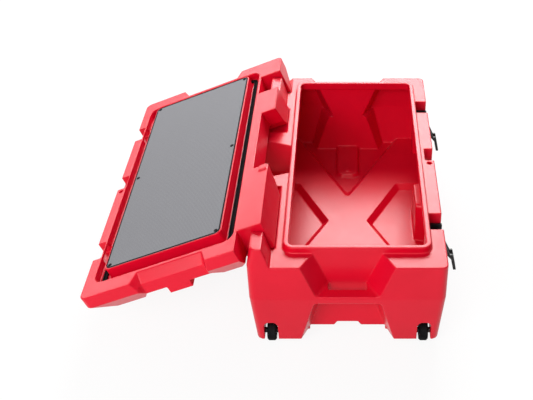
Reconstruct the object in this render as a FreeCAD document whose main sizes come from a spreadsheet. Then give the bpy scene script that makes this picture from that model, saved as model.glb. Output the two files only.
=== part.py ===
# A wheeled storage box moulded in one skin, with a hinged lid, two side latches and two end wheels.
# X runs from the hinge side to the latch side, Y along the box from the wheels, Z up from the ground.
import FreeCAD, Part
import Sketcher
import math
import os
import re

# Driving sizes in millimetres and degrees: alias, value, meaning
SIZES = (
    ("tub_length", 970, "length of the tub"),
    ("tub_width", 500, "width of the tub"),
    ("shoulder_height", 280, "ground to the flat top of the tub"),
    ("belt_height", 176, "ground to the line where the walls start to taper"),
    ("floor_underside", 34, "ground to the underside of the floor"),
    ("tub_wall", 6, "skin of the tub"),
    ("corner_radius", 18, "upright corners"),
    ("end_taper", 18, "inward lean of each end below the belt"),
    ("side_taper", 10, "inward lean of each side below the belt"),
    ("rim_rear", 163, "centre plane to the outside of the rim on the hinge side"),
    ("rim_front", 212, "centre plane to the outside of the rim on the latch side"),
    ("rim_end", 428, "centre plane to the outside of the rim at each end"),
    ("rim_width", 13, "thickness of the rim"),
    ("rim_height", 18, "rise of the rim over the shoulder"),
    ("rim_radius", 28, "outer corners of the rim"),
    ("near_foot", 18, "ground to the moulded feet beside the wheels"),
    ("foot_length", 95, "length of a foot along the box"),
    ("foot_inner", 100, "centre plane to the inner side of a foot"),
    ("foot_radius", 12, "corners of a foot"),
    ("recess_top", 119, "half width of an end recess at the shoulder, outside"),
    ("recess_lip", 82, "half width of an end recess at its lip, outside"),
    ("recess_back_top", 88, "half width of an end recess at the shoulder, at its back"),
    ("recess_back_lip", 48, "half width of an end recess at its floor, at its back"),
    ("lip_height", 184, "ground to the top of the grip bar"),
    ("bar_underside", 160, "ground to the underside of the grip bar"),
    ("recess_radius", 14, "corners of the recesses"),
    ("grip_half_width", 50, "half width of the finger slot behind the grip bar"),
    ("grip_depth", 27, "depth of the finger slot"),
    ("arch_top", 87, "half width of a lower recess under the bar, outside"),
    ("arch_foot", 131, "half width of a lower recess between the near feet, outside"),
    ("arch_back_top", 58, "half width of a lower recess under the bar, at its back"),
    ("arch_back_foot", 106, "half width of a lower recess at foot level, at its back"),
    ("strap_half_width", 36, "half width of the strap channel under each end"),
    ("strap_slant", 9, "lean of the strap channel's sides"),
    ("strap_depth", 12, "depth of the strap channel"),
    ("strap_reach", 252, "centre to the inner end of the strap channel"),
    ("strap_end_radius", 24, "rounded inner end of the strap channel"),
    ("boss_radius", 11, "round boss inside, over the channel's end"),
    ("boss_rise", 4, "rise of that boss"),
    ("boss_inset", 24, "channel's end to the middle of that boss"),
    ("emboss_height", 16, "rise of the floor's cross over its pockets"),
    ("emboss_slant", 16, "lean of the pocket walls"),
    ("cross_slope", 2.02, "run along the box of a cross arm for each unit across it"),
    ("end_tip", 117, "centre to the tip of an end pocket"),
    ("side_tip", 57, "centre to the tip of a side pocket"),
    ("side_reach", 195, "half length of a side pocket"),
    ("tip_radius", 9, "rounded tips of the floor pockets"),
    ("rear_recess_top", 100, "half width of the hinge side recess at the shoulder, outside"),
    ("rear_recess_back", 68, "half width of the hinge side recess at the shoulder, at its back"),
    ("rear_recess_narrowing", 28, "how much the hinge side recess narrows down to its floor"),
    ("side_arch_foot", 92, "half width of a long side's lower recess at the bottom"),
    ("side_arch_narrowing", 30, "how much a long side's lower recess narrows to its top"),
    ("side_arch_top", 150, "ground to the top of a long side's lower recess"),
    ("side_arch_depth", 45, "depth of a long side's lower recess"),
    ("hinge_rear", 225, "centre plane to the hinge axis"),
    ("hinge_rise", 37.3, "shoulder to the hinge axis"),
    ("open_angle", 201.9, "swing of the lid from shut to its stop"),
    ("hinge_pin_radius", 5, "hinge pins"),
    ("hinge_pin_reach", 81, "reach of a hinge pin into the lid's long lug"),
    ("lug_solid", 25, "solid end of a lid lug past its pin hole"),
    ("pin_play", 0.06, "radial play of pins and axles"),
    ("lug_gap", 4, "end gap between neighbouring hinge lugs"),
    ("lug_rise", 20.7, "hinge axis to the top of a tub lug"),
    ("lug_top_rear", 240, "centre plane to the rear of a tub lug's top"),
    ("lug_top_front", 210, "centre plane to the front of a tub lug's top"),
    ("lug_foot_front", 192, "centre plane to the front of a tub lug's foot"),
    ("near_lug_end", 409, "centre to the split between the near tub lug and the lid"),
    ("far_lug_start", 286, "centre to the near side of the far tub lug"),
    ("far_lug_end", 386, "centre to the far side of the far tub lug"),
    ("near_cut", 140, "centre to the lid's rear cut-out on the near side"),
    ("far_cut", 150, "centre to the lid's rear cut-out on the far side"),
    ("cut_front", 205, "centre plane to the front of the lid's rear cut-out"),
    ("lid_play", 3, "room round the turning lid"),
    ("lid_height", 85, "shoulder to the top of the lid"),
    ("lid_skirt", 36, "shoulder to the top of the lid's upright skirt"),
    ("lid_bevel", 42, "inward lean of the lid above its skirt"),
    ("lid_wall", 4.5, "skin of the lid"),
    ("lid_gap", 1, "gap between shoulder and shut lid"),
    ("deck_height", 60, "shoulder to the low deck of the lid"),
    ("deck_half_width", 92, "half width of the lid's lengthwise deck"),
    ("deck_slant", 20, "lean of the deck's sides"),
    ("rib_half_width", 32, "half width of a stacking rib"),
    ("rib_rise", 19, "rise of a stacking rib over the deck"),
    ("rib_length", 140, "length of a stacking rib"),
    ("lid_recess_back", 92, "half width of a lid end recess at its back, at the flange"),
    ("lid_recess_depth", 41, "depth of a lid end recess at the flange"),
    ("lid_recess_upper", 88, "half width of a lid end recess at its back, above its bevel"),
    ("lid_recess_shallow", 18, "depth of a lid end recess above its bevel"),
    ("lid_recess_bevel", 26, "height of the bevel in a lid end recess"),
    ("lug_pocket_front", 184, "centre plane to the lid wall in front of a tub lug"),
    ("lug_pocket_bevel", 20, "bevel of that wall at the lid's top"),
    ("groove_rear", 175, "centre plane to the groove's outer wall on the hinge side"),
    ("groove_front", 222, "centre plane to the groove's outer wall on the latch side"),
    ("groove_end", 434, "centre plane to the groove's outer wall at each end"),
    ("groove_depth", 22, "depth of the groove that takes the rim"),
    ("gasket_width", 13, "width of the gasket"),
    ("gasket_thickness", 4.5, "thickness of the gasket over its lips"),
    ("gasket_lip", 2.5, "height of the gasket's two lips"),
    ("gasket_channel", 5, "width of the channel between the lips"),
    ("plug_rear", 145, "centre plane to the plug on the hinge side"),
    ("plug_front", 190, "centre plane to the plug on the latch side"),
    ("plug_end", 407, "centre plane to the plug at each end"),
    ("plug_drop", 10, "drop of the plug below the shoulder"),
    ("plug_wall", 24, "width of the plug's ring"),
    ("panel_inset", 4, "plug edge to panel edge"),
    ("panel_thickness", 3, "thickness of the lid panel"),
    ("panel_play", 0.4, "gap round the lid panel"),
    ("screw_inset", 11, "panel edge to its screws"),
    ("screw_head", 4.5, "radius of a screw head"),
    ("screw_shank", 2.2, "radius of a screw shank"),
    ("screw_length", 14, "length of a screw shank"),
    ("screw_rise", 2, "height of a screw head"),
    ("bump_size", 22, "side of the locating bump on the lid's flange"),
    ("bump_rise", 4, "rise of the locating bump"),
    ("latch_place", 295, "centre to the middle of each latch"),
    ("latch_half_width", 33, "half width of a latch channel"),
    ("latch_back", 214, "centre plane to the back of a latch channel"),
    ("latch_channel_foot", 112, "ground to the foot of a latch channel"),
    ("latch_foot_slope", 26, "rise of the channel's foot to its back"),
    ("keeper_front", 226, "centre plane to the front of the lid's keeper ledge"),
    ("keeper_height", 11, "shoulder to the top of the keeper ledge"),
    ("keeper_roof", 34, "shoulder to the roof over the keeper ledge"),
    ("plate_thickness", 5, "back plate of a latch base"),
    ("plate_half_width", 31, "half width of the back plate"),
    ("plate_low", 168, "ground to the lower end of the back plate"),
    ("plate_high", 250, "ground to the upper end of the back plate"),
    ("base_screw_spread", 8.5, "middle of a latch to its base's screws, along the box"),
    ("cheek_thickness", 6, "cheeks of a latch base"),
    ("cheek_margin", 3, "cheek left round the lever's barrel"),
    ("latch_gap", 0.5, "side gap between the pieces of a latch"),
    ("lever_axis_out", 241, "centre plane to the lever's pins"),
    ("lever_axis_height", 232, "ground to the lever's pins"),
    ("lever_pin_radius", 3, "lever pins"),
    ("lever_barrel", 8, "radius of the lever's barrels"),
    ("lever_arm", 5.5, "thickness of each arm of the lever, along the box"),
    ("grip_top_out", 34, "lever pins to the top of the grip, outward"),
    ("grip_top_drop", 56, "lever pins to the top of the grip, downward"),
    ("grip_foot_out", 45, "lever pins to the foot of the grip, outward"),
    ("grip_foot_drop", 107, "lever pins to the foot of the grip, downward"),
    ("grip_thickness", 8, "thickness of the grip"),
    ("grip_bar", 12, "height of the bar that joins the lever's arms"),
    ("arm_share", 0.3, "share of the grip's height that the arms back"),
    ("claw_axis_in", 3, "lever pins to the claw's pin, inward"),
    ("claw_axis_drop", 16, "lever pins to the claw's pin, downward"),
    ("claw_pin_radius", 2.5, "claw pin"),
    ("claw_barrel", 7, "radius of the claw's barrel and of the lever's eyes round its pin"),
    ("claw_half_width", 8, "half width of a claw"),
    ("claw_thickness", 9, "thickness of the claw's shank"),
    ("claw_reach", 86, "claw pin to the top of the claw"),
    ("claw_nose", 19, "claw pin to the tip of the nose"),
    ("claw_hang", 168, "turn of a loose claw from upright, outward"),
    ("lock_start", 6, "centre to the near side of the lock notch"),
    ("lock_end", 54, "centre to the far side of the lock notch"),
    ("lock_back", 224, "centre plane to the back of the lock notch"),
    ("lock_depth", 30, "depth of the lock notch below the shoulder"),
    ("lock_rise", 22, "height of the lock notch in the lid"),
    ("padlock_radius", 6.5, "padlock hole"),
    ("padlock_out", 235, "centre plane to the padlock hole"),
    ("padlock_place", 21, "centre to the padlock hole"),
    ("wheel_radius", 28, "radius of a wheel over its tyre"),
    ("wheel_width", 24, "width of a wheel"),
    ("wheel_out", 200, "centre plane to the middle of a wheel"),
    ("wheel_place", 440, "centre to the wheels' axles"),
    ("tyre_depth", 8, "depth of a tyre"),
    ("tyre_shoulder", 4, "bevelled shoulders of a tyre"),
    ("hub_boss", 8, "radius of a hub's boss"),
    ("hub_web", 5, "half thickness of a hub's web"),
    ("hub_lip", 3, "thickness of a hub's lip"),
    ("well_half_width", 18, "half width of a wheel well"),
    ("well_top", 84, "ground to the crown of a wheel well"),
    ("well_depth", 42, "axle to the back of a wheel well"),
    ("axle_radius", 4, "axles"),
    ("axle_grip", 18, "length of an axle held in the foot on each side"),
    ("axle_head", 7.5, "radius of an axle's head"),
    ("axle_head_rise", 3, "thickness of an axle's head"),
    ("spacer_radius", 7.5, "radius of a wheel spacer"),
    ("spacer_play", 0.15, "end play at each face of a spacer"),
)

# Places that several pieces share, worked out from the driving sizes
HINGE_X = "(-hinge_rear)"
HINGE_Z = "(shoulder_height + hinge_rise)"
BAR_MIDDLE = "((lip_height + bar_underside) / 2)"
ARM_UNDERSIDE = "(floor_underside + emboss_height)"
FLANGE = "(shoulder_height + lid_gap)"
SKIRT_TOP = "(shoulder_height + lid_skirt)"
LID_TOP = "(shoulder_height + lid_height)"
DECK = "(shoulder_height + deck_height)"
GROOVE_ROOF = "(shoulder_height + lid_gap + groove_depth)"
PLUG_FACE = "(shoulder_height - plug_drop)"
PANEL_BACK = "(shoulder_height - plug_drop + panel_thickness)"
RIM_TOP = "(shoulder_height + rim_height)"
# Run of a cut beyond the moulding, overlap of joined blocks, and how deep a bar starts in a round it joins
PAST = "20"
OVER = "1"
WITHIN = "0.8"
CHEEK_FACE = "(plate_half_width - cheek_thickness)"
ARM_FACE = "(claw_half_width + latch_gap)"

doc = FreeCAD.newDocument("StorageBox")
sheet = doc.addObject("Spreadsheet::Sheet", "sizes")
for row, (alias, value, meaning) in enumerate(SIZES, start=1):
    sheet.set(f"A{row}", meaning)
    sheet.set(f"B{row}", str(value))
    sheet.setAlias(f"B{row}", alias)
doc.recompute()

ALIASES = {alias for alias, value, meaning in SIZES}
NODES = []


def bound(formula):
    """The formula with every alias pointing at the sheet."""
    def refer(word):
        return f"sizes.{word.group()}" if word.group() in ALIASES else word.group()
    return re.sub(r"[a-z_][a-z0-9_]*", refer, formula)


def number(formula):
    """The present value of a formula."""
    return float(sheet.evalExpression(formula))


def origin_feature(body, role):
    return next(feature for feature in body.Origin.OriginFeatures if feature.Role == role)


def new_sketch(body, name, plane, level):
    """An empty sketch on one of the body's origin planes, moved to a level along X, Y or Z."""
    sketch = body.newObject("Sketcher::SketchObject", name)
    sketch.AttachmentSupport = [(origin_feature(body, plane + "_Plane"), "")]
    sketch.MapMode = "FlatFace"
    facing = "-1" if plane == "XZ" else "1"
    sketch.setExpression("AttachmentOffset.Base.z", bound(f"{facing} * ({level})"))
    return sketch


def drive(sketch, constraint, label, formula):
    """Add a named constraint and bind its value to a formula."""
    constraint.Name = label
    sketch.addConstraint(constraint)
    sketch.setExpression(f"Constraints.{label}", bound(formula))


def corner_arc(before, corner, after, radius):
    """The arc that rounds a corner, and whether it runs from the incoming line to the outgoing one."""
    incoming = (corner - before).normalize()
    outgoing = (after - corner).normalize()
    turn = incoming.x * outgoing.y - incoming.y * outgoing.x
    half_turn = math.acos(max(-1, min(1, incoming.dot(outgoing)))) / 2
    reach = radius * math.tan(half_turn)
    entry = corner - incoming * reach
    leave = corner + outgoing * reach
    middle = corner + (outgoing - incoming).normalize() * (radius / math.cos(half_turn) - radius)
    forward = turn > 0
    ends = (entry, leave) if forward else (leave, entry)
    return Part.Arc(ends[0], middle, ends[1]), entry, leave, forward


def outline(body, name, plane, level, corners):
    """A closed sketch through corners, each (across, up, radius) in formulas; radius None is sharp."""
    sketch = new_sketch(body, name, plane, level)
    count = len(corners)
    places = [FreeCAD.Vector(number(across), number(up), 0) for across, up, radius in corners]
    entries = list(places)
    leaves = list(places)
    arcs = {}
    for index, (across, up, radius) in enumerate(corners):
        if radius is not None:
            arc, entry, leave, forward = corner_arc(
                places[index - 1], places[index], places[(index + 1) % count], number(radius))
            entries[index] = entry
            leaves[index] = leave
            arcs[index] = (sketch.addGeometry(arc), forward)
    points = [sketch.addGeometry(Part.Point(place), True) for place in places]
    lines = [sketch.addGeometry(Part.LineSegment(leaves[index], entries[(index + 1) % count]))
             for index in range(count)]
    for index, (across, up, radius) in enumerate(corners):
        line_in = lines[index - 1]
        line_out = lines[index]
        drive(sketch, Sketcher.Constraint("DistanceX", -1, 1, points[index], 1, places[index].x),
              f"across_{index}", across)
        drive(sketch, Sketcher.Constraint("DistanceY", -1, 1, points[index], 1, places[index].y),
              f"up_{index}", up)
        if radius is None:
            sketch.addConstraint(Sketcher.Constraint("Coincident", line_in, 2, points[index], 1))
            sketch.addConstraint(Sketcher.Constraint("Coincident", line_out, 1, points[index], 1))
            continue
        arc, forward = arcs[index]
        first, last = (1, 2) if forward else (2, 1)
        sketch.addConstraint(Sketcher.Constraint("PointOnObject", points[index], 1, line_in))
        sketch.addConstraint(Sketcher.Constraint("PointOnObject", points[index], 1, line_out))
        sketch.addConstraint(Sketcher.Constraint("Tangent", line_in, 2, arc, first))
        sketch.addConstraint(Sketcher.Constraint("Tangent", line_out, 1, arc, last))
        drive(sketch, Sketcher.Constraint("Radius", arc, number(radius)), f"radius_{index}", radius)
    return sketch


def extrude(body, name, plane, start, end, sketch, cut):
    """Pad or pocket a sketch that lies at start as far as end."""
    feature = body.newObject("PartDesign::Pocket" if cut else "PartDesign::Pad", name)
    feature.Profile = sketch
    feature.setExpression("Length", bound(f"abs(({end}) - ({start}))"))
    with_normal = (number(end) > number(start)) == (plane != "XZ")
    feature.Reversed = with_normal if cut else not with_normal
    sketch.Visibility = False
    return feature


def prism(body, name, plane, start, end, corners, cut=False):
    """A straight block of one outline."""
    return extrude(body, name, plane, start, end, outline(body, f"{name}_outline", plane, start, corners), cut)


def disc(body, name, plane, start, end, across, up, radius, cut=False):
    """A round block or hole."""
    sketch = new_sketch(body, f"{name}_outline", plane, start)
    centre = FreeCAD.Vector(number(across), number(up), 0)
    circle = sketch.addGeometry(Part.Circle(centre, FreeCAD.Vector(0, 0, 1), number(radius)))
    drive(sketch, Sketcher.Constraint("DistanceX", -1, 1, circle, 3, centre.x), "across", across)
    drive(sketch, Sketcher.Constraint("DistanceY", -1, 1, circle, 3, centre.y), "up", up)
    drive(sketch, Sketcher.Constraint("Radius", circle, number(radius)), "radius", radius)
    return extrude(body, name, plane, start, end, sketch, cut)


def loft(body, name, plane, sections, cut=False):
    """A block that changes evenly from one outline to the next; sections are (level, corners)."""
    sketches = [outline(body, f"{name}_section_{index}", plane, level, corners)
                for index, (level, corners) in enumerate(sections)]
    feature = body.newObject("PartDesign::SubtractiveLoft" if cut else "PartDesign::AdditiveLoft", name)
    feature.Profile = sketches[0]
    feature.Sections = sketches[1:]
    feature.Ruled = True
    for sketch in sketches:
        sketch.Visibility = False
    return feature


def revolve(body, name, corners):
    """A solid turned about the body's X axis from a profile of (along, out, radius)."""
    feature = body.newObject("PartDesign::Revolution", name)
    feature.Profile = outline(body, f"{name}_profile", "XY", "0", corners)
    feature.ReferenceAxis = (origin_feature(body, "X_Axis"), [""])
    feature.Angle = 360
    return feature


def rectangle(left, right, low, high, radius=None):
    """Four corners, anticlockwise from the lower left."""
    return [(left, low, radius), (right, low, radius), (right, high, radius), (left, high, radius)]


def new_body(name):
    body = doc.addObject("PartDesign::Body", name)
    body.AllowCompound = True
    return body


def keep(piece, node):
    """Give a finished piece its node name and put it on the list to be written."""
    piece.Label = node
    NODES.append(piece)
    return piece


def subtract(node, solid, hollow):
    """A piece that is one body less another."""
    piece = doc.addObject("Part::Cut", node)
    piece.Base = solid
    piece.Tool = hollow
    return keep(piece, node)


def end_at(height):
    """Half length of the tub at a height below the belt."""
    return f"(tub_length / 2 - end_taper * (belt_height - ({height})) / (belt_height - floor_underside))"


def side_at(height):
    """Half width of the tub at a height below the belt."""
    return f"(tub_width / 2 - side_taper * (belt_height - ({height})) / (belt_height - floor_underside))"


def tub_plan(across, along, radius):
    return rectangle(f"-({across})", across, f"-({along})", along, radius)


def tub_block(body, skin):
    """The plain tub, tapering below the belt; skin moves every face inward."""
    top = f"shoulder_height - {skin}"
    bottom = f"{ARM_UNDERSIDE} + {skin}"
    radius = f"corner_radius - {skin}"
    belt = tub_plan(f"tub_width / 2 - {skin}", f"tub_length / 2 - {skin}", radius)
    foot = tub_plan(f"{side_at(bottom)} - {skin}", f"{end_at(bottom)} - {skin}", radius)
    prism(body, "upper_walls", "XY", "belt_height", top, belt)
    loft(body, "lower_walls", "XY", [("belt_height", belt), (bottom, foot)])


def floor_pockets(body, skin, grow):
    """Four low pockets that leave a raised cross in the floor; grow widens them all round."""
    stretch = "sqrt(1 + cross_slope * cross_slope)"
    levels = []
    for slant, height in (("0", f"{ARM_UNDERSIDE} + {skin}"), ("emboss_slant", f"floor_underside + {skin}")):
        levels.append((height, f"({grow} - {slant})"))
    for sign, place in (("-1", "near"), ("1", "far")):
        sections = []
        for height, wide in levels:
            tip = f"(end_tip - {wide} * {stretch})"
            end = f"({end_at(height)} - {skin})"
            half = f"(({end} - {tip}) / cross_slope)"
            sections.append((height, [("0", f"{sign} * {tip}", "tip_radius"),
                                      (half, f"{sign} * {end}", None), (f"-{half}", f"{sign} * {end}", None)]))
        loft(body, f"{place}_floor_pocket", "XY", sections)
    for sign, place in (("-1", "rear"), ("1", "front")):
        sections = []
        for height, wide in levels:
            tip = f"(side_tip - {wide} * {stretch} / cross_slope)"
            reach = f"(side_reach + {wide})"
            bend = f"{sign} * ({tip} + {reach} / cross_slope)"
            wall = f"{sign} * ({side_at(height)} - {skin})"
            sections.append((height, [(f"{sign} * {tip}", "0", "tip_radius"), (bend, reach, "tip_radius"),
                                      (wall, reach, None), (wall, f"-{reach}", None),
                                      (bend, f"-{reach}", "tip_radius")]))
        loft(body, f"{place}_floor_pocket", "XY", sections)


def feet(body):
    """Four corner feet, the near pair shorter because of the wheels."""
    for along, bottom, end in (("-1", "near_foot", "near"), ("1", "0", "far")):
        for across, side in (("-1", "left"), ("1", "right")):
            sections = []
            for height in (f"{ARM_UNDERSIDE} + tub_wall / 2", bottom):
                outer = f"{across} * {side_at(height)}"
                inner = f"{across} * foot_inner"
                tip = f"{along} * {end_at(height)}"
                heel = f"{along} * ({end_at(height)} - foot_length)"
                sections.append((height, [(outer, tip, "corner_radius"), (inner, tip, "foot_radius"),
                                          (inner, heel, "foot_radius"), (outer, heel, "foot_radius")]))
            loft(body, f"{end}_{side}_foot", "XY", sections)


def tub_lugs(body):
    """The two hinge lugs that stand on the shoulder."""
    spans = (("near_lug", "-tub_length / 2", "-(near_lug_end + lug_gap / 2)", "corner_radius"),
             ("far_lug", "far_lug_start + lug_gap / 2", "far_lug_end - lug_gap / 2", "lug_gap"))
    for name, start, end, radius in spans:
        sections = []
        for height, rear, front in (("shoulder_height - tub_wall / 2", "tub_width / 2", "lug_foot_front"),
                                    (f"{HINGE_Z} + lug_rise", "lug_top_rear", "lug_top_front")):
            sections.append((height, [(f"-{rear}", start, radius), (f"-{front}", start, "lug_gap"),
                                      (f"-{front}", end, "lug_gap"), (f"-{rear}", end, "lug_gap")]))
        loft(body, name, "XY", sections)


def end_recess(body, sign, place, floor, grow):
    """The funnel above a grip bar, open to the end and the shoulder."""
    def half(lip, top, height):
        return f"({lip} + ({top} - {lip}) * ({height} - lip_height) / (shoulder_height - lip_height) + {grow})"
    sections = []
    for level, lip, top in ((f"{sign} * tub_length / 2", "recess_lip", "recess_top"),
                            (f"{sign} * (rim_end - {grow})", "recess_back_lip", "recess_back_top")):
        high = half(lip, top, RIM_TOP)
        low = half(lip, top, floor)
        sections.append((level, [(f"-{high}", RIM_TOP, None), (f"-{low}", floor, "recess_radius"),
                                 (low, floor, "recess_radius"), (high, RIM_TOP, None)]))
    loft(body, f"{place}_recess", "XZ", sections, cut=True)


def end_arch(body, sign, place, roof, grow):
    """The recess under a grip bar, open to the end and the ground."""
    def half(top, foot, height):
        drop = f"(bar_underside - ({height})) / (bar_underside - near_foot)"
        return f"({top} + ({foot} - {top}) * {drop} + {grow})"
    low = f"-{PAST}"
    sections = []
    for level, top, foot in ((f"{sign} * tub_length / 2", "arch_top", "arch_foot"),
                             (f"{sign} * (rim_end - {grow})", "arch_back_top", "arch_back_foot")):
        wide = half(top, foot, low)
        narrow = half(top, foot, roof)
        sections.append((level, [(f"-{wide}", low, None), (wide, low, None),
                                 (narrow, roof, "recess_radius"), (f"-{narrow}", roof, "recess_radius")]))
    loft(body, f"{place}_arch", "XZ", sections, cut=True)


def strap_channel(body, sign, place, grow):
    """The round-ended channel that runs in under an end."""
    sections = []
    mouth = f"floor_underside - {OVER}"
    roof = f"floor_underside + strap_depth + {grow}"
    for height, slant in ((mouth, "0"), (roof, "strap_slant")):
        half = f"(strap_half_width - {slant} + {grow})"
        inner = f"{sign} * (strap_reach + {slant} - {grow})"
        outer = f"{sign} * tub_length / 2"
        sections.append((height, [(f"-{half}", outer, None), (f"-{half}", inner, "strap_end_radius"),
                                  (half, inner, "strap_end_radius"), (half, outer, None)]))
    loft(body, f"{place}_strap_channel", "XY", sections, cut=True)


def rear_recess(body, grow):
    """The funnel in the middle of the hinge side."""
    sections = []
    for level, top in (("-tub_width / 2", "rear_recess_top"), (f"-(rim_rear - {grow})", "rear_recess_back")):
        high = f"({top} + {grow})"
        low = f"({top} - rear_recess_narrowing + {grow})"
        floor = f"(lip_height - {grow})"
        sections.append((level, [(f"-{high}", "shoulder_height", None), (f"-{low}", floor, "recess_radius"),
                                 (low, floor, "recess_radius"), (high, "shoulder_height", None)]))
    loft(body, "rear_recess", "YZ", sections, cut=True)


def side_arches(body, grow):
    """A low recess in the middle of each long side."""
    low = f"-{PAST}"
    roof = f"(side_arch_top + {grow})"
    for sign, place in (("-1", "rear"), ("1", "front")):
        wide = f"(side_arch_foot + {grow})"
        narrow = f"(side_arch_foot - side_arch_narrowing + {grow})"
        sections = []
        for level, inset in ((f"{sign} * tub_width / 2", "0"),
                             (f"{sign} * (tub_width / 2 - side_arch_depth - {grow})", "recess_radius")):
            sections.append((level, [(f"-({wide} - {inset})", low, None), (f"{wide} - {inset}", low, None),
                                     (f"{narrow} - {inset}", roof, "recess_radius"),
                                     (f"-({narrow} - {inset})", roof, "recess_radius")]))
        loft(body, f"{place}_arch", "YZ", sections, cut=True)


def hinge_troughs(body, grow):
    """Scoops in the shoulder where the lid's lugs turn and come to rest."""
    lean = "(open_angle - 180)"
    drop = f"(lid_height - hinge_rise + lid_play + {grow})"
    sweep = (f"sqrt((tub_width / 2 - hinge_rear) * (tub_width / 2 - hinge_rear)"
             f" + (lid_height - hinge_rise) * (lid_height - hinge_rise)) + lid_play + {grow}")
    run = "tub_width / 4"
    below = (f"{HINGE_X} + {drop} * sin({lean})", f"{HINGE_Z} - {drop} * cos({lean})")
    away = (f"{HINGE_X} - {run} * cos({lean})", f"{HINGE_Z} - {run} * sin({lean})")
    corner = (f"{below[0]} - {run} * cos({lean})", f"{below[1]} - {run} * sin({lean})")
    section = [(HINGE_X, HINGE_Z, None), (*below, None), (*corner, None), (*away, None)]
    spans = (("near_trough", f"-(near_lug_end + {grow})", f"-(near_cut - lug_gap - {grow})"),
             ("middle_trough", f"far_cut - lug_gap - {grow}", f"far_lug_start + {grow}"),
             ("far_trough", f"far_lug_end - {grow}", f"tub_length / 2 + {PAST}"))
    for name, start, end in spans:
        disc(body, name, "XZ", start, end, HINGE_X, HINGE_Z, sweep, cut=True)
        prism(body, f"{name}_floor", "XZ", start, end, section, cut=True)


def latch_channels(body, grow):
    """An upright channel for each latch, and the notch for the lock."""
    back = f"(latch_back - {grow})"
    face = f"(tub_width / 2 + {PAST})"
    section = [(back, RIM_TOP, None), (back, f"latch_channel_foot + latch_foot_slope - {grow}", None),
               (face, f"latch_channel_foot - {grow}", None), (face, RIM_TOP, None)]
    for sign, place in (("-1", "near"), ("1", "far")):
        middle = f"{sign} * latch_place"
        prism(body, f"{place}_latch_channel", "XZ", f"{middle} - latch_half_width - {grow}",
              f"{middle} + latch_half_width + {grow}", section, cut=True)
    notch_back = f"lock_back - {grow}"
    notch = [(notch_back, RIM_TOP, None), (notch_back, "shoulder_height - lock_depth", None),
             (face, f"shoulder_height - lock_depth - latch_foot_slope - {grow}", None), (face, RIM_TOP, None)]
    prism(body, "lock_notch", "XZ", f"-lock_start - {grow}", f"lock_end + {grow}", notch, cut=True)


def wheel_wells(body, grow):
    """An arched well for each wheel, open to the near end and the ground."""
    roof = f"well_top + {grow}"
    half = f"(well_half_width + {grow})"
    for sign, side in (("-1", "left"), ("1", "right")):
        middle = f"{sign} * wheel_out"
        section = [(f"{middle} - {half}", f"-{PAST}", None), (f"{middle} + {half}", f"-{PAST}", None),
                   (f"{middle} + {half}", roof, f"well_half_width - {OVER}"),
                   (f"{middle} - {half}", roof, f"well_half_width - {OVER}")]
        prism(body, f"{side}_well", "XZ", f"-tub_length / 2 - {PAST}", f"-(wheel_place - well_depth - {grow})",
              section, cut=True)


def shared_recesses(body, grow):
    """Everything pressed into the tub's skin; grow is the skin left round it inside."""
    for sign, place in (("-1", "near"), ("1", "far")):
        end_recess(body, sign, place, BAR_MIDDLE if grow != "0" else "lip_height", grow)
        end_arch(body, sign, place, BAR_MIDDLE if grow != "0" else "bar_underside", grow)
        strap_channel(body, sign, place, grow)
    rear_recess(body, grow)
    side_arches(body, grow)
    hinge_troughs(body, grow)
    latch_channels(body, grow)
    wheel_wells(body, grow)


def screw_places():
    """Where a latch base is screwed to the tub, as (offset along the box, height)."""
    low = "plate_low + 2 * screw_head"
    high = "plate_high - 2 * screw_head"
    return [(f"{sign} base_screw_spread", height) for sign in ("-", "+") for height in (low, high)]


def tub_outside():
    """The tub as a solid with all its outer recesses and holes."""
    body = new_body("tub_outside")
    tub_block(body, "0")
    floor_pockets(body, "0", "tub_wall")
    feet(body)
    rim = rectangle("-rim_rear", "rim_front", "-rim_end", "rim_end", "rim_radius")
    prism(body, "rim", "XY", "shoulder_height - tub_wall / 2", RIM_TOP, rim)
    tub_lugs(body)
    shared_recesses(body, "0")
    for sign, place in (("-1", "near"), ("1", "far")):
        slot = rectangle("-grip_half_width", "grip_half_width", f"{sign} * rim_end",
                         f"{sign} * (rim_end + grip_depth)")
        prism(body, f"{place}_grip_slot", "XY", f"bar_underside - {OVER}", f"lip_height + {OVER}", slot,
              cut=True)
        for index, (offset, height) in enumerate(screw_places()):
            disc(body, f"{place}_screw_hole_{index}", "YZ", f"latch_back - tub_wall - {OVER}",
                 f"latch_back + {OVER}",
                 f"{sign} * latch_place {offset}", height, "screw_shank + pin_play", cut=True)
    disc(body, "padlock_hole", "XY", "shoulder_height - 2 * tub_wall", f"shoulder_height + {OVER}",
         "padlock_out", "-padlock_place", "padlock_radius", cut=True)
    pin = "hinge_pin_radius + pin_play"
    near_blind = "-(tub_length / 2 - lug_rise)"
    disc(body, "near_pin_hole", "XZ", near_blind, "-near_lug_end", HINGE_X, HINGE_Z, pin, cut=True)
    disc(body, "far_pin_hole", "XZ", "far_lug_start", "far_lug_end", HINGE_X, HINGE_Z, pin, cut=True)
    for sign, side in (("-1", "left"), ("1", "right")):
        outer_ear = f"{sign} * (wheel_out + well_half_width + axle_grip)"
        inner_ear = f"{sign} * (wheel_out - well_half_width - axle_grip)"
        disc(body, f"{side}_axle_hole", "YZ", inner_ear, outer_ear, "-wheel_place", "wheel_radius",
             "axle_radius + pin_play", cut=True)
        disc(body, f"{side}_head_seat", "YZ", outer_ear, f"{sign} * (tub_width / 2 + {OVER})", "-wheel_place",
             "wheel_radius", f"axle_head + {OVER}", cut=True)
    return body


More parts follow.
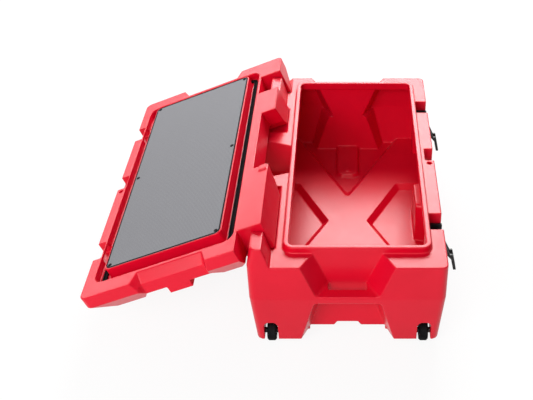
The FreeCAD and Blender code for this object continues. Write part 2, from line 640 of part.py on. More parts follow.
def tub_inside():
    """The space in the tub, with the back of every recess standing in it."""
    body = new_body("tub_inside")
    tub_block(body, "tub_wall")
    floor_pockets(body, "tub_wall", "0")
    shared_recesses(body, "tub_wall")
    for sign, place in (("-1", "near"), ("1", "far")):
        top = "(floor_underside + strap_depth + tub_wall)"
        along = f"{sign} * (strap_reach + boss_inset)"
        disc(body, f"{place}_boss", "XY", top, f"{top} + boss_rise", "0", along, "boss_radius", cut=True)
    mouth = rectangle("-(rim_rear - rim_width)", "rim_front - rim_width", "-(rim_end - rim_width)",
                      "rim_end - rim_width", "rim_radius - rim_width")
    prism(body, "mouth", "XY", f"shoulder_height - tub_wall - {OVER}", f"{RIM_TOP} + {OVER}", mouth)
    return body


def open_lid_placement():
    """The turn about the hinge axis that opens the lid; lid pieces are drawn shut."""
    axis = FreeCAD.Vector(number(HINGE_X), 0, number(HINGE_Z))
    turn = FreeCAD.Rotation(FreeCAD.Vector(0, -1, 0), number("open_angle"))
    return FreeCAD.Placement(FreeCAD.Vector(), turn, axis)


def lid_block(body, skin, low):
    """The plain lid: an upright skirt and a bevelled crown; skin moves every face inward."""
    rear = f"-(tub_width / 2 - {skin})"
    radius = f"corner_radius - {skin}"
    side = f"tub_width / 2 - {skin}"
    end = f"(tub_length / 2 - {skin})"
    skirt = rectangle(rear, side, f"-{end}", end, radius)
    crown_end = f"({end} - lid_bevel)"
    crown = rectangle(rear, f"{side} - lid_bevel", f"-{crown_end}", crown_end, radius)
    prism(body, "skirt", "XY", low, SKIRT_TOP, skirt)
    loft(body, "crown", "XY", [(SKIRT_TOP, skirt), (f"{LID_TOP} - {skin}", crown)])


def lid_recesses(body, grow):
    """Everything pressed into the lid's skin; grow is the skin left round it inside."""
    high = f"{LID_TOP} + {PAST}"
    low = f"{FLANGE} - {OVER}"
    deck = f"({DECK} - {grow})"
    spread = f"deck_slant * ({high} - {deck}) / (lid_height - deck_height)"
    half = f"(deck_half_width + {grow})"
    long_deck = [(f"-{half}", deck, None), (half, deck, None), (f"{half} + {spread}", high, None),
                 (f"-({half} + {spread})", high, None)]
    prism(body, "long_deck", "XZ", f"-tub_length / 2 - {PAST}", f"tub_length / 2 + {PAST}", long_deck, cut=True)
    near = f"-(near_cut + cut_front - lug_pocket_front + {grow})"
    far = f"(far_cut + cut_front - lug_pocket_front + {grow})"
    cross_deck = [(near, deck, None), (far, deck, None), (f"{far} + {spread}", high, None),
                  (f"{near} - {spread}", high, None)]
    prism(body, "cross_deck", "YZ", f"-tub_width / 2 - {PAST}", f"tub_width / 2 + {PAST}", cross_deck, cut=True)
    face = f"(tub_width / 2 + {PAST})"
    cut_low = rectangle(f"-{face}", f"-(cut_front - {grow})", f"-(near_cut + {grow})", f"far_cut + {grow}")
    cut_high = rectangle(f"-{face}", f"-(cut_front - {grow})", near, far)
    loft(body, "rear_cut", "XY", [(low, cut_low), (DECK, cut_high)], cut=True)
    wall = f"-(lug_pocket_front - {grow})"
    over_lid = f"{LID_TOP} + {OVER}"
    pocket = [(f"-{face}", low, None), (wall, low, None),
              (wall, f"{LID_TOP} - lug_pocket_bevel - {grow}", None),
              (f"{wall} + lug_pocket_bevel", over_lid, None), (f"-{face}", over_lid, None)]
    spans = (("near_lug_pocket", f"-tub_length / 2 - {PAST}", f"-(near_lug_end - lug_gap / 2 - {grow})"),
             ("far_lug_pocket", f"far_lug_start - lug_gap / 2 - {grow}", f"far_lug_end + lug_gap / 2 + {grow}"))
    for name, start, end in spans:
        prism(body, name, "XZ", start, end, pocket, cut=True)
    for sign, place in (("-1", "near"), ("1", "far")):
        def funnel(back, depth):
            outer = f"(tub_length / 2 + {PAST})"
            inner = f"(tub_length / 2 - {depth} - {grow})"
            wide = f"({back} + {PAST} + {grow})"
            narrow = f"({back} + {grow})"
            return [(f"-{wide}", f"{sign} * {outer}", None), (f"-{narrow}", f"{sign} * {inner}", None),
                    (narrow, f"{sign} * {inner}", None), (wide, f"{sign} * {outer}", None)]
        upper = funnel("lid_recess_upper", "lid_recess_shallow")
        ledge = f"(shoulder_height + lid_recess_bevel + {grow})"
        loft(body, f"{place}_end_bevel", "XY", [(low, funnel("lid_recess_back", "lid_recess_depth")),
                                                (ledge, upper)], cut=True)
        prism(body, f"{place}_end_recess", "XY", ledge, high, upper, cut=True)
        roof = f"shoulder_height + keeper_roof + {grow}"
        ledge_front = f"keeper_front - {grow}"
        ledge_top = f"shoulder_height + keeper_height - {grow}"
        notch = [(face, low, None), (face, roof, None), (f"latch_back - {grow}", roof, None),
                 (f"latch_back - {grow}", ledge_top, None), (ledge_front, ledge_top, None),
                 (ledge_front, low, None)]
        middle = f"{sign} * latch_place"
        prism(body, f"{place}_latch_notch", "XZ", f"{middle} - latch_half_width - {grow}",
              f"{middle} + latch_half_width + {grow}", notch, cut=True)
    lock = rectangle(f"lock_back - {grow}", face, low, f"shoulder_height + lock_rise + {grow}")
    prism(body, "lock_notch", "XZ", f"-lock_start - {grow}", f"lock_end + {grow}", lock, cut=True)
    disc(body, "padlock_hole", "XY", low, high, "padlock_out", "-padlock_place", f"padlock_radius + {grow}",
         cut=True)


def groove_plan(grow):
    return rectangle(f"-(groove_rear + {grow})", f"groove_front + {grow}", f"-(groove_end + {grow})",
                     f"groove_end + {grow}", "rim_radius")


def plug_plan(inset):
    return rectangle(f"-(plug_rear - ({inset}))", f"plug_front - ({inset})", f"-(plug_end - ({inset}))",
                     f"plug_end - ({inset})", "rim_radius - rim_width")


def panel_screw_places():
    rear = "-(plug_rear - panel_inset - screw_inset)"
    front = "plug_front - panel_inset - screw_inset"
    end = "(plug_end - panel_inset - screw_inset)"
    return [(across, along) for across in (rear, front) for along in (f"-{end}", "0", end)]


def lid_outside():
    """The lid as a solid with its outer recesses, groove and plug."""
    body = new_body("lid_outside")
    lid_block(body, "0", FLANGE)
    lid_recesses(body, "0")
    for sign, place in (("-1", "near"), ("1", "far")):
        outer = f"{sign} * (tub_length / 2 - lid_recess_shallow)"
        inner = f"{sign} * (tub_length / 2 - lid_recess_shallow - rib_length)"
        prism(body, f"{place}_stacking_rib", "XY", f"{DECK} - {OVER}", f"{DECK} + rib_rise",
              rectangle("-rib_half_width", "rib_half_width", inner, outer))
    prism(body, "groove", "XY", FLANGE, GROOVE_ROOF, groove_plan("0"), cut=True)
    prism(body, "plug", "XY", PLUG_FACE, f"{GROOVE_ROOF} + {OVER}", plug_plan("0"))
    prism(body, "panel_seat", "XY", PLUG_FACE, PANEL_BACK, plug_plan("panel_inset - panel_play"), cut=True)
    bump_rear = "-(tub_width / 2 - lug_gap)"
    bump_near = "-(near_cut + lug_gap + bump_size)"
    prism(body, "locating_bump", "XY", f"{FLANGE} - bump_rise", f"{FLANGE} + {OVER}",
          rectangle(bump_rear, f"{bump_rear} + bump_size", bump_near, f"{bump_near} + bump_size"))
    pin = "hinge_pin_radius + pin_play"
    disc(body, "near_pin_hole", "XZ", "-near_lug_end", "-near_cut - lug_solid", HINGE_X, HINGE_Z, pin,
         cut=True)
    disc(body, "far_pin_hole", "XZ", "far_cut + lug_solid", "tub_length / 2 - lug_rise", HINGE_X, HINGE_Z,
         pin, cut=True)
    for index, (across, along) in enumerate(panel_screw_places()):
        disc(body, f"panel_screw_hole_{index}", "XY", PANEL_BACK, f"{PANEL_BACK} + screw_length", across, along,
             "screw_shank + pin_play", cut=True)
    return body


def lid_inside():
    """The hollow of the lid, with the back of every recess, the groove and the pin barrels in it."""
    body = new_body("lid_inside")
    lid_block(body, "lid_wall", f"{FLANGE} + lid_wall")
    lid_recesses(body, "lid_wall")
    prism(body, "groove_back", "XY", FLANGE, f"{GROOVE_ROOF} + lid_wall", groove_plan("lid_wall"), cut=True)
    disc(body, "pin_barrel", "XZ", "-tub_length / 2", "tub_length / 2", HINGE_X, HINGE_Z,
         "hinge_pin_radius + 2 * lid_wall", cut=True)
    prism(body, "opening", "XY", PLUG_FACE, f"{GROOVE_ROOF} + lid_wall + {OVER}", plug_plan("plug_wall"))
    return body


def lid_pieces():
    """The lid with its gasket, inner panel and panel screws, all turned open."""
    outside = lid_outside()
    inside = lid_inside()
    gasket = new_body("lid_gasket")
    lip = f"{GROOVE_ROOF} - gasket_thickness"
    web = f"{lip} + gasket_lip"
    for name, half, top, cut in (("outer_lip", "gasket_width / 2", GROOVE_ROOF, False),
                                 ("channel", "gasket_channel / 2", web, True),
                                 ("inner_lip", "-gasket_channel / 2", web, False),
                                 ("opening", "-gasket_width / 2", GROOVE_ROOF, True)):
        past_rim = f"({half} - rim_width / 2)"
        plan = rectangle(f"-(rim_rear + {past_rim})", f"rim_front + {past_rim}", f"-(rim_end + {past_rim})",
                         f"rim_end + {past_rim}", f"rim_radius + {past_rim}")
        prism(gasket, name, "XY", lip, top, plan, cut)
    panel = new_body("lid_panel")
    prism(panel, "sheet", "XY", PLUG_FACE, PANEL_BACK, plug_plan("panel_inset"))
    screws = new_body("panel_screws")
    for index, (across, along) in enumerate(panel_screw_places()):
        disc(panel, f"hole_{index}", "XY", PLUG_FACE, PANEL_BACK, across, along, "screw_shank + pin_play",
             cut=True)
        disc(screws, f"head_{index}", "XY", f"{PLUG_FACE} - screw_rise", PLUG_FACE, across, along, "screw_head")
        disc(screws, f"shank_{index}", "XY", PLUG_FACE, f"{PANEL_BACK} + screw_length", across, along,
             "screw_shank")
    for body in (outside, inside, gasket, panel, screws):
        body.Placement = open_lid_placement()
    subtract("lid", outside, inside)
    keep(gasket, "lid_gasket")
    keep(panel, "lid_panel")
    keep(screws, "panel_screws")


def hinge_pins():
    """One pin for the near lugs and one for the far lugs."""
    spans = (("hinge_pin_near", f"-(tub_length / 2 - lug_rise - {OVER})", "-(near_lug_end - hinge_pin_reach)"),
             ("hinge_pin_far", "far_lug_start - hinge_pin_reach", f"tub_length / 2 - lug_rise - {OVER}"))
    for name, start, end in spans:
        body = new_body(name)
        disc(body, "pin", "XZ", start, end, HINGE_X, HINGE_Z, "hinge_pin_radius")
        keep(body, name)


def wheels():
    """A hub, tyre, axle and pair of spacers on each side of the near end."""
    half = "wheel_width / 2"
    rim = "(wheel_radius - tyre_depth)"
    bore = "(axle_radius + pin_play)"
    for sign, side in (("-1", "left"), ("1", "right")):
        centre = FreeCAD.Vector(number(f"{sign} * wheel_out"), number("-wheel_place"), number("wheel_radius"))
        hub = new_body(f"wheel_hub_{side}")
        revolve(hub, "hub", [(f"-{half}", bore, None), (half, bore, None), (half, "hub_boss", None),
                             ("hub_web", f"hub_boss + {OVER}", None), ("hub_web", f"{rim} - hub_lip", None),
                             (half, f"{rim} - hub_lip", None), (half, rim, None), (f"-{half}", rim, None),
                             (f"-{half}", f"{rim} - hub_lip", None), ("-hub_web", f"{rim} - hub_lip", None),
                             ("-hub_web", f"hub_boss + {OVER}", None), (f"-{half}", "hub_boss", None)])
        tyre = new_body(f"wheel_tyre_{side}")
        tread = f"({half} - tyre_shoulder)"
        edge = "wheel_radius - tyre_shoulder"
        revolve(tyre, "tyre", [(f"-{half}", rim, None), (half, rim, None), (half, edge, None),
                               (tread, "wheel_radius", None), (f"-{tread}", "wheel_radius", None),
                               (f"-{half}", edge, None)])
        axle = new_body(f"wheel_axle_{side}")
        outer = f"{sign} * (well_half_width + axle_grip)"
        disc(axle, "shaft", "YZ", f"-({outer})", outer, "0", "0", "axle_radius")
        disc(axle, "head", "YZ", outer, f"{outer} + {sign} * axle_head_rise", "0", "0", "axle_head")
        spacers = new_body(f"wheel_spacers_{side}")
        for index, face in enumerate(("-1", "1")):
            start = f"{face} * ({half} + spacer_play)"
            end = f"{face} * (well_half_width - spacer_play)"
            disc(spacers, f"spacer_{index}", "YZ", start, end, "0", "0", "spacer_radius")
            disc(spacers, f"spacer_bore_{index}", "YZ", start, end, "0", "0", bore, cut=True)
        for body in (hub, tyre, axle, spacers):
            body.Placement = FreeCAD.Placement(centre, FreeCAD.Rotation())
            keep(body, body.Name)


def latch_base(place, middle):
    """The bracket that is screwed into a latch channel, with its screws and the lever's two pins."""
    base = new_body(f"latch_base_{place}")
    front = "(latch_back + plate_thickness)"
    prism(base, "back_plate", "YZ", "latch_back", front,
          rectangle(f"{middle} - plate_half_width", f"{middle} + plate_half_width", "plate_low", "plate_high",
                    "screw_head"))
    reach = "(lever_axis_out + lever_barrel + cheek_margin)"
    root = f"{front} - plate_thickness / 2"
    cheek = [(root, "lever_axis_height - 3 * lever_barrel", None),
             (reach, "lever_axis_height - lever_barrel - cheek_margin", "lever_barrel / 2"),
             (reach, "plate_high", "lever_barrel / 2"), (root, "plate_high", None)]
    screws = new_body(f"latch_screws_{place}")
    pins = new_body(f"lever_pin_{place}")
    for index, side in enumerate(("-", "+")):
        outer = f"{middle} {side} plate_half_width"
        prism(base, f"cheek_{index}", "XZ", f"{middle} {side} {CHEEK_FACE}", outer, cheek)
        disc(pins, f"pin_{index}", "XZ", f"{middle} {side} {ARM_FACE}", outer, "lever_axis_out",
             "lever_axis_height", "lever_pin_radius")
    past = f"(plate_half_width + {OVER})"
    disc(base, "pin_hole", "XZ", f"{middle} - {past}", f"{middle} + {past}", "lever_axis_out", "lever_axis_height",
         "lever_pin_radius + pin_play", cut=True)
    for index, (offset, height) in enumerate(screw_places()):
        along = f"{middle} {offset}"
        disc(base, f"screw_hole_{index}", "YZ", f"latch_back - {OVER}", f"{front} + {OVER}", along, height,
             "screw_shank + pin_play", cut=True)
        disc(screws, f"head_{index}", "YZ", front, f"{front} + screw_rise", along, height, "screw_head")
        disc(screws, f"shank_{index}", "YZ", front, "latch_back - tub_wall", along, height, "screw_shank")
    for body in (base, screws, pins):
        keep(body, body.Name)


def latch_lever(place, middle):
    """The lever: two arms on the base's pins, joined by a bar at the foot of the grip."""
    lever = new_body(f"latch_lever_{place}")
    grip_run = "(grip_foot_out - grip_top_out)"
    grip_fall = "(grip_foot_drop - grip_top_drop)"
    bar_share = f"(1 - grip_bar / {grip_fall})"
    arm = [(f"{WITHIN} * lever_barrel", "lever_barrel / 2", None), ("grip_top_out", "-grip_top_drop", None),
           ("grip_top_out + grip_thickness", "-grip_top_drop", "grip_thickness / 4"),
           ("grip_foot_out + grip_thickness", "-grip_foot_drop", "grip_thickness / 4"),
           ("grip_foot_out", "-grip_foot_drop", None),
           (f"grip_top_out + arm_share * {grip_run}", f"-(grip_top_drop + arm_share * {grip_fall})", None),
           ("-claw_axis_in", f"-(claw_axis_drop + {WITHIN} * claw_barrel)", None),
           (f"-(claw_axis_in + {WITHIN} * claw_barrel)", "-claw_axis_drop", None),
           (f"-{WITHIN} * lever_barrel", "0", None)]
    bar = [("grip_foot_out", "-grip_foot_drop", None),
           ("grip_foot_out + grip_thickness", "-grip_foot_drop", "grip_thickness / 4"),
           (f"grip_top_out + grip_thickness + {bar_share} * {grip_run}", "-(grip_foot_drop - grip_bar)", None),
           (f"grip_top_out + {bar_share} * {grip_run}", "-(grip_foot_drop - grip_bar)", None)]
    outer = f"({ARM_FACE} + lever_arm)"
    for index, side in enumerate(("-", "")):
        start = f"{side}{ARM_FACE}"
        prism(lever, f"arm_{index}", "XZ", start, f"{side}{outer}", arm)
        disc(lever, f"barrel_{index}", "XZ", start, f"{side}({CHEEK_FACE} - latch_gap)", "0", "0",
             "lever_barrel")
        disc(lever, f"eye_{index}", "XZ", start, f"{side}{outer}", "-claw_axis_in", "-claw_axis_drop",
             "claw_barrel")
    prism(lever, "grip_bar", "XZ", f"-{outer}", outer, bar)
    disc(lever, "lever_pin_hole", "XZ", f"-{CHEEK_FACE}", CHEEK_FACE, "0", "0", "lever_pin_radius + pin_play",
         cut=True)
    disc(lever, "claw_pin_hole", "XZ", f"-{outer} - {OVER}", f"{outer} + {OVER}", "-claw_axis_in",
         "-claw_axis_drop", "claw_pin_radius + pin_play", cut=True)
    pin = new_body(f"claw_pin_{place}")
    disc(pin, "pin", "XZ", f"-{outer}", outer, "-claw_axis_in", "-claw_axis_drop", "claw_pin_radius")
    centre = FreeCAD.Vector(number("lever_axis_out"), number(middle), number("lever_axis_height"))
    for body in (lever, pin):
        body.Placement = FreeCAD.Placement(centre, FreeCAD.Rotation())
        keep(body, body.Name)


def latch_claw(place, middle):
    """The claw that hooks over the lid's keeper, hanging loose between the lever's arms."""
    claw = new_body(f"latch_claw_{place}")
    half = "claw_thickness / 2"
    shank = [(f"-{half}", "0", None), (half, "0", None), (half, "claw_reach", "claw_pin_radius"),
             (f"-claw_nose + {half}", "claw_reach", "claw_pin_radius"),
             ("-claw_nose", f"claw_reach - {half}", None),
             ("-claw_nose", "claw_reach - claw_thickness", None),
             (f"-{half}", "claw_reach - claw_thickness", None)]
    prism(claw, "shank", "XZ", "-claw_half_width", "claw_half_width", shank)
    disc(claw, "barrel", "XZ", "-claw_half_width", "claw_half_width", "0", "0", "claw_barrel")
    disc(claw, "pin_hole", "XZ", f"-claw_half_width - {OVER}", f"claw_half_width + {OVER}", "0", "0",
         "claw_pin_radius + pin_play", cut=True)
    centre = FreeCAD.Vector(number("lever_axis_out - claw_axis_in"), number(middle),
                            number("lever_axis_height - claw_axis_drop"))
    hang = FreeCAD.Rotation(FreeCAD.Vector(0, 1, 0), number("claw_hang"))
    claw.Placement = FreeCAD.Placement(centre, hang)
    keep(claw, claw.Name)


def latches():
    for sign, place in (("-1", "near"), ("1", "far")):
        middle = f"{sign} * latch_place"
        latch_base(place, middle)
        latch_lever(place, middle)
        latch_claw(place, middle)


def check():
    """Stop if anything in the document failed or any piece is not a sound solid."""
    for item in doc.Objects:
        if "Invalid" in item.State or "Error" in item.State:
            raise RuntimeError(f"{item.Name} failed: {item.State}")
    for piece in NODES:
        if piece.Shape.isNull() or not piece.Shape.isValid() or not piece.Shape.Solids:
            raise RuntimeError(f"{piece.Label} is not a sound solid")


subtract("tub", tub_outside(), tub_inside())
hinge_pins()
lid_pieces()
wheels()
latches()
doc.recompute()
check()
os.makedirs("parts", exist_ok=True)
for node in NODES:
    node.Shape.exportStep(f"parts/{node.Label}.step")
    print(node.Label, len(node.Shape.Solids), "solids", round(node.Shape.Volume / 1000, 2), "cubic centimetres")
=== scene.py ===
# The looks of a wheeled storage box: rounded mouldings, a woven lid panel, black fittings and a pale studio.
import bmesh
import bpy
import math
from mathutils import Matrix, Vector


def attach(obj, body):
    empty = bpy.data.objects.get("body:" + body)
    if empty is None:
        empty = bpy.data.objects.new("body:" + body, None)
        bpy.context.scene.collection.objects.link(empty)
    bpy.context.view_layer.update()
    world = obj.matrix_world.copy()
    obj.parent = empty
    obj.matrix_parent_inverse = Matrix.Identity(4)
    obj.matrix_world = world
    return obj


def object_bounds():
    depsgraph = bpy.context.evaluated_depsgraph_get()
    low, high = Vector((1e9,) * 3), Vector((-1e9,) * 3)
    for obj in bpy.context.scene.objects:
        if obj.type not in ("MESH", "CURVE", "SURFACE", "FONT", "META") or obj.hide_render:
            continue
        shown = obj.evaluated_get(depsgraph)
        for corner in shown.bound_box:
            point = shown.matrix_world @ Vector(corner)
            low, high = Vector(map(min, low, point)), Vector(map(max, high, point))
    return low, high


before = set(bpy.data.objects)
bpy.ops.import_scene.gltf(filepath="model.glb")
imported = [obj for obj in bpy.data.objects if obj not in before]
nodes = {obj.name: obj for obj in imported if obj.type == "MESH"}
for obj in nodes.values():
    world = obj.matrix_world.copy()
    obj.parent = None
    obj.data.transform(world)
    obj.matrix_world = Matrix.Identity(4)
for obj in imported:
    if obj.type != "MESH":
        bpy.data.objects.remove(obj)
cad_low, cad_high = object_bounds()

# Shapes, in metres and degrees, and the number of four-sided faces that a moulding keeps
MERGE_REACH = 0.00001
MOULD_GRAIN = 0.0018
MOULD_SMOOTHING = 3
MOULD_SOFTENING = 0.5
MOULD_FACES = 95000
FITTING_EDGE = 0.0012
FITTING_STEPS = 2
FITTING_FLATNESS = 1
FITTING_CORNER = 35
# Painted shade: the width and rise of the black strip that draws the shadowed gap along the lid panel's edge
SHADE_STRIP_WIDTH = 0.003
SHADE_STRIP_RISE = 0.0008
FACING_UP = 0.5

# Finishes: the part of a pattern's range that shows, and the weave of the panel on the open lid
NOISE_LOW = 0.3
NOISE_HIGH = 0.7
LID_LEAN = 201.9
WEAVE_PITCH = 0.0042
WAVES_PER_SCALE = 10 / math.pi

# Studio: floor, world, and each lamp's place, size and power
FLOOR_SIZE = 16
FLOOR_PAINT = 0.9
FLOOR_WHITENESS = 0.9
WORLD_LIGHT = 0.25
WORLD_SEEN = 1.0
LAMPS = {
    "back_softbox": ((0.25, 2.6, 2.25), (1.8, 1.9), 150),
    "left_softbox": ((-2.3, 2.4, 1.4), (2.9, 0.85), 35),
    "front_softbox": ((-1.2, -2.6, 1.9), (2.4, 1.6), 80),
}

# Camera, as the photograph's straight edges give it
PHOTO_WIDTH = 533
PHOTO_FOCAL_PIXELS = 899.6
PHOTO_CENTRE_PIXEL = 347.6
SENSOR = 36
CAMERA_PLACE = (0, -2.166, 1.721)
CAMERA_PITCH = 36.25


def add_node(tree, kind, **inputs):
    """A shader node with the named input sockets set."""
    node = tree.nodes.new(kind)
    for name, value in inputs.items():
        node.inputs[name.replace("_", " ")].default_value = value
    return node


def new_finish(name, colour, roughness, specular=0.5, metallic=0.0):
    """A material with one principled shader, which has the values that are the same all over."""
    finish = bpy.data.materials.new(name)
    finish.use_nodes = True
    tree = finish.node_tree
    shader = tree.nodes["Principled BSDF"]
    shader.inputs["Base Color"].default_value = (*colour, 1)
    shader.inputs["Roughness"].default_value = roughness
    shader.inputs["Specular IOR Level"].default_value = specular
    shader.inputs["Metallic"].default_value = metallic
    return finish, tree, shader


def object_noise(tree, scale, detail):
    """Noise that stays on the piece."""
    place = tree.nodes.new("ShaderNodeTexCoord")
    noise = add_node(tree, "ShaderNodeTexNoise", Scale=scale, Detail=detail)
    tree.links.new(place.outputs["Object"], noise.inputs["Vector"])
    return noise.outputs["Fac"]


def vary_colour(tree, shader, value, low, high):
    """Blend the base colour between two shades by the middle part of a noise or weave."""
    ramp = tree.nodes.new("ShaderNodeValToRGB")
    ramp.color_ramp.elements[0].position = NOISE_LOW
    ramp.color_ramp.elements[0].color = (*low, 1)
    ramp.color_ramp.elements[1].position = NOISE_HIGH
    ramp.color_ramp.elements[1].color = (*high, 1)
    tree.links.new(value, ramp.inputs["Fac"])
    tree.links.new(ramp.outputs["Color"], shader.inputs["Base Color"])


def vary_roughness(tree, shader, value, low, high):
    """Let the gloss differ from place to place."""
    span = tree.nodes.new("ShaderNodeMapRange")
    span.inputs["From Min"].default_value = NOISE_LOW
    span.inputs["From Max"].default_value = NOISE_HIGH
    span.inputs["To Min"].default_value = low
    span.inputs["To Max"].default_value = high
    tree.links.new(value, span.inputs["Value"])
    tree.links.new(span.outputs["Result"], shader.inputs["Roughness"])


def add_bump(tree, shader, value, strength, depth):
    """A relief too fine for the mesh."""
    bump = add_node(tree, "ShaderNodeBump", Strength=strength, Distance=depth)
    tree.links.new(value, bump.inputs["Height"])
    tree.links.new(bump.outputs["Normal"], shader.inputs["Normal"])


def red_moulding():
    """Semi-gloss red polyethylene with a slight orange peel and uneven sheen."""
    finish, tree, shader = new_finish("red_moulding", (0.66, 0.001, 0.020), 0.31, specular=0.25)
    vary_colour(tree, shader, object_noise(tree, 7, 4), (0.63, 0.001, 0.018), (0.69, 0.002, 0.022))
    vary_roughness(tree, shader, object_noise(tree, 38, 5), 0.28, 0.34)
    add_bump(tree, shader, object_noise(tree, 900, 2), 0.12, 0.0005)
    return finish


def woven_panel():
    """A grey sheet with a fine cross weave pressed into it."""
    finish, tree, shader = new_finish("woven_panel", (0.195, 0.195, 0.208), 0.62, specular=0.3)
    place = tree.nodes.new("ShaderNodeTexCoord")
    level = tree.nodes.new("ShaderNodeMapping")
    level.inputs["Rotation"].default_value = (0, math.radians(LID_LEAN), 0)
    tree.links.new(place.outputs["Object"], level.inputs["Vector"])
    bands = []
    for direction in ("X", "Y"):
        band = add_node(tree, "ShaderNodeTexWave", Scale=1 / WAVES_PER_SCALE / WEAVE_PITCH)
        band.bands_direction = direction
        tree.links.new(level.outputs["Vector"], band.inputs["Vector"])
        bands.append(band.outputs["Fac"])
    cross = tree.nodes.new("ShaderNodeMath")
    cross.operation = "MULTIPLY"
    tree.links.new(bands[0], cross.inputs[0])
    tree.links.new(bands[1], cross.inputs[1])
    weave = cross.outputs["Value"]
    vary_colour(tree, shader, weave, (0.145, 0.145, 0.157), (0.245, 0.245, 0.259))
    add_bump(tree, shader, weave, 0.5, 0.0008)
    return finish


def black_moulding():
    """Matt black nylon with a fine grain."""
    finish, tree, shader = new_finish("black_moulding", (0.006, 0.006, 0.007), 0.45, specular=0.35)
    vary_colour(tree, shader, object_noise(tree, 60, 3), (0.004, 0.004, 0.005), (0.009, 0.009, 0.010))
    vary_roughness(tree, shader, object_noise(tree, 90, 3), 0.38, 0.52)
    add_bump(tree, shader, object_noise(tree, 1800, 2), 0.15, 0.0003)
    return finish


def black_rubber():
    """Dull black rubber with a dusty bloom."""
    finish, tree, shader = new_finish("black_rubber", (0.008, 0.008, 0.009), 0.70, specular=0.03)
    vary_colour(tree, shader, object_noise(tree, 45, 5), (0.005, 0.005, 0.006), (0.014, 0.014, 0.015))
    vary_roughness(tree, shader, object_noise(tree, 70, 4), 0.65, 0.85)
    add_bump(tree, shader, object_noise(tree, 1200, 3), 0.2, 0.0004)
    return finish


def black_steel():
    """Screws with a matt black coating."""
    finish, tree, shader = new_finish("black_steel", (0.008, 0.008, 0.009), 0.50, specular=0.05)
    vary_colour(tree, shader, object_noise(tree, 350, 4), (0.005, 0.005, 0.006), (0.012, 0.012, 0.013))
    vary_roughness(tree, shader, object_noise(tree, 420, 3), 0.42, 0.58)
    return finish


def bright_steel():
    """Plain turned steel."""
    finish, tree, shader = new_finish("bright_steel", (0.55, 0.55, 0.56), 0.28, metallic=1.0)
    vary_colour(tree, shader, object_noise(tree, 260, 4), (0.48, 0.48, 0.49), (0.60, 0.60, 0.61))
    vary_roughness(tree, shader, object_noise(tree, 500, 4), 0.22, 0.36)
    return finish


def add_shading(node):
    """Smooth shading that keeps the large faces flat."""
    node.data.polygons.foreach_set("use_smooth", [True] * len(node.data.polygons))
    keep_flats = node.modifiers.new("flat_faces", "WEIGHTED_NORMAL")
    keep_flats.keep_sharp = False


def round_moulding(node):
    """Round every edge of a moulded skin as a mould does, inside and out."""
    grain = node.modifiers.new("even_grain", "REMESH")
    grain.mode = "VOXEL"
    grain.voxel_size = MOULD_GRAIN
    soften = node.modifiers.new("mould_radii", "SMOOTH")
    soften.factor = MOULD_SOFTENING
    soften.iterations = MOULD_SMOOTHING
    evaluated = node.evaluated_get(bpy.context.evaluated_depsgraph_get())
    thin = node.modifiers.new("fewer_faces", "DECIMATE")
    thin.ratio = MOULD_FACES / len(evaluated.data.polygons)
    add_shading(node)


def round_fitting(node):
    """Break the edges of a small fitting."""
    join = node.modifiers.new("join_faces", "WELD")
    join.merge_threshold = MERGE_REACH
    plain = node.modifiers.new("whole_faces", "DECIMATE")
    plain.decimate_type = "DISSOLVE"
    plain.angle_limit = math.radians(FITTING_FLATNESS)
    chamfer = node.modifiers.new("broken_edges", "BEVEL")
    chamfer.width = FITTING_EDGE
    chamfer.segments = FITTING_STEPS
    chamfer.limit_method = "ANGLE"
    chamfer.angle_limit = math.radians(FITTING_CORNER)
    add_shading(node)


def panel_edge_shade(finish):
    """A thin black strip on the lid panel, along its edge and round each of its screws; along the edge it is
    painted shade, a dark line for the shadow in the gap between panel and lid.
    """
    shade_strip = bmesh.new()
    shade_strip.from_mesh(nodes["lid_panel"].data)
    bmesh.ops.remove_doubles(shade_strip, verts=shade_strip.verts, dist=MERGE_REACH)
    hidden = [face for face in shade_strip.faces if face.normal.z < FACING_UP]
    bmesh.ops.delete(shade_strip, geom=hidden, context="FACES")
    rim = bmesh.ops.inset_region(shade_strip, faces=shade_strip.faces[:], thickness=SHADE_STRIP_WIDTH, use_boundary=True,
                                 use_even_offset=True)
    strip = set(rim["faces"])
    middle = [face for face in shade_strip.faces if face not in strip]
    bmesh.ops.delete(shade_strip, geom=middle, context="FACES")
    bmesh.ops.solidify(shade_strip, geom=shade_strip.faces[:], thickness=-SHADE_STRIP_RISE)
    bmesh.ops.recalc_face_normals(shade_strip, faces=shade_strip.faces[:])
    data = bpy.data.meshes.new("panel_edge_shade")
    shade_strip.to_mesh(data)
    shade_strip.free()
    data.materials.append(finish)
    piece = bpy.data.objects.new("panel_edge_shade", data)
    bpy.context.scene.collection.objects.link(piece)
    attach(piece, "lid")


def dress(finish, *names):
    """Give a finish to the named CAD nodes."""
    for name in names:
        node = nodes[name]
        node.data.materials.clear()
        node.data.materials.append(finish)


def dress_pieces():
    """Every node's finish, and the edges of the mouldings and fittings."""
    red = red_moulding()
    plastic = black_moulding()
    rubber = black_rubber()
    coated = black_steel()
    bright = bright_steel()
    dress(red, "tub", "lid")
    dress(woven_panel(), "lid_panel")
    # Painted shade: a black strip along the lid panel's edge, for the shadow in the gap there
    panel_edge_shade(rubber)
    dress(rubber, "lid_gasket")
    dress(coated, "panel_screws")
    round_fitting(nodes["panel_screws"])
    dress(bright, "hinge_pin_near", "hinge_pin_far")
    for side in ("left", "right"):
        dress(plastic, f"wheel_hub_{side}", f"wheel_spacers_{side}")
        dress(rubber, f"wheel_tyre_{side}")
        dress(bright, f"wheel_axle_{side}")
    for place in ("near", "far"):
        dress(plastic, f"latch_base_{place}", f"latch_claw_{place}", f"latch_lever_{place}")
        dress(coated, f"latch_screws_{place}")
        dress(bright, f"claw_pin_{place}", f"lever_pin_{place}")
        for fitting in (f"latch_base_{place}", f"latch_claw_{place}", f"latch_lever_{place}"):
            round_fitting(nodes[fitting])
    for moulding in ("tub", "lid"):
        round_moulding(nodes[moulding])


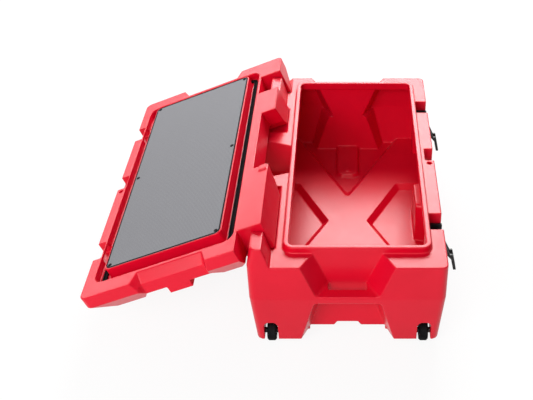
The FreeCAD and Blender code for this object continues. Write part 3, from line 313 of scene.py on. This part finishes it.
def seen_directly(tree):
    """One where a camera, mirror or glass ray arrives, and zero elsewhere."""
    path = tree.nodes.new("ShaderNodeLightPath")
    rays = path.outputs["Is Camera Ray"]
    for kind in ("Is Glossy Ray", "Is Transmission Ray"):
        either = tree.nodes.new("ShaderNodeMath")
        either.operation = "MAXIMUM"
        tree.links.new(rays, either.inputs[0])
        tree.links.new(path.outputs[kind], either.inputs[1])
        rays = either.outputs["Value"]
    return rays


def pale_floor():
    """A white floor that keeps a soft shadow."""
    bpy.ops.mesh.primitive_plane_add(size=FLOOR_SIZE)
    floor = bpy.context.object
    floor.name = "studio_floor"
    finish = bpy.data.materials.new("floor_white")
    finish.use_nodes = True
    tree = finish.node_tree
    tree.nodes.clear()
    out = tree.nodes.new("ShaderNodeOutputMaterial")
    paint = add_node(tree, "ShaderNodeBsdfDiffuse", Color=(FLOOR_PAINT, FLOOR_PAINT, FLOOR_PAINT, 1))
    glow = add_node(tree, "ShaderNodeEmission", Color=(1, 1, 1, 1), Strength=1)
    share = tree.nodes.new("ShaderNodeMath")
    share.operation = "MULTIPLY"
    share.inputs[1].default_value = FLOOR_WHITENESS
    blend = tree.nodes.new("ShaderNodeMixShader")
    tree.links.new(seen_directly(tree), share.inputs[0])
    tree.links.new(share.outputs["Value"], blend.inputs["Fac"])
    tree.links.new(paint.outputs["BSDF"], blend.inputs[1])
    tree.links.new(glow.outputs["Emission"], blend.inputs[2])
    tree.links.new(blend.outputs["Shader"], out.inputs["Surface"])
    floor.data.materials.append(finish)


def studio_world():
    """Soft light from all round, in front of a white background."""
    world = bpy.data.worlds.new("studio")
    bpy.context.scene.world = world
    world.use_nodes = True
    tree = world.node_tree
    sky = tree.nodes["Background"]
    sky.inputs["Color"].default_value = (1, 1, 1, 1)
    strength = tree.nodes.new("ShaderNodeMapRange")
    strength.inputs["To Min"].default_value = WORLD_LIGHT
    strength.inputs["To Max"].default_value = WORLD_SEEN
    tree.links.new(seen_directly(tree), strength.inputs["Value"])
    tree.links.new(strength.outputs["Result"], sky.inputs["Strength"])


def softbox(name, place, target, size, power):
    """A rectangular lamp that faces a target point."""
    lamp = bpy.data.lights.new(name, "AREA")
    lamp.shape = "RECTANGLE"
    lamp.size, lamp.size_y = size
    lamp.energy = power
    holder = bpy.data.objects.new(name, lamp)
    bpy.context.scene.collection.objects.link(holder)
    holder.location = place
    holder.rotation_euler = (target - holder.location).to_track_quat("-Z", "Y").to_euler()


def studio_lamps():
    """The lamps behind, at the left and in front, all turned to the box."""
    middle = (cad_low + cad_high) / 2
    for name, (place, size, power) in LAMPS.items():
        softbox(name, place, middle, size, power)


def photo_camera():
    """The photograph's view: no roll, and a sideways shift as its frame is off the middle."""
    data = bpy.data.cameras.new("photo_view")
    data.sensor_width = SENSOR
    data.lens = PHOTO_FOCAL_PIXELS / PHOTO_WIDTH * SENSOR
    data.shift_x = (PHOTO_WIDTH / 2 - PHOTO_CENTRE_PIXEL) / PHOTO_WIDTH
    camera = bpy.data.objects.new("photo_view", data)
    bpy.context.scene.collection.objects.link(camera)
    camera.location = CAMERA_PLACE
    camera.rotation_euler = (math.radians(90 - CAMERA_PITCH), 0, 0)
    bpy.context.scene.camera = camera


dress_pieces()
pale_floor()
studio_world()
studio_lamps()
photo_camera()
bpy.context.scene.view_settings.view_transform = "Standard"
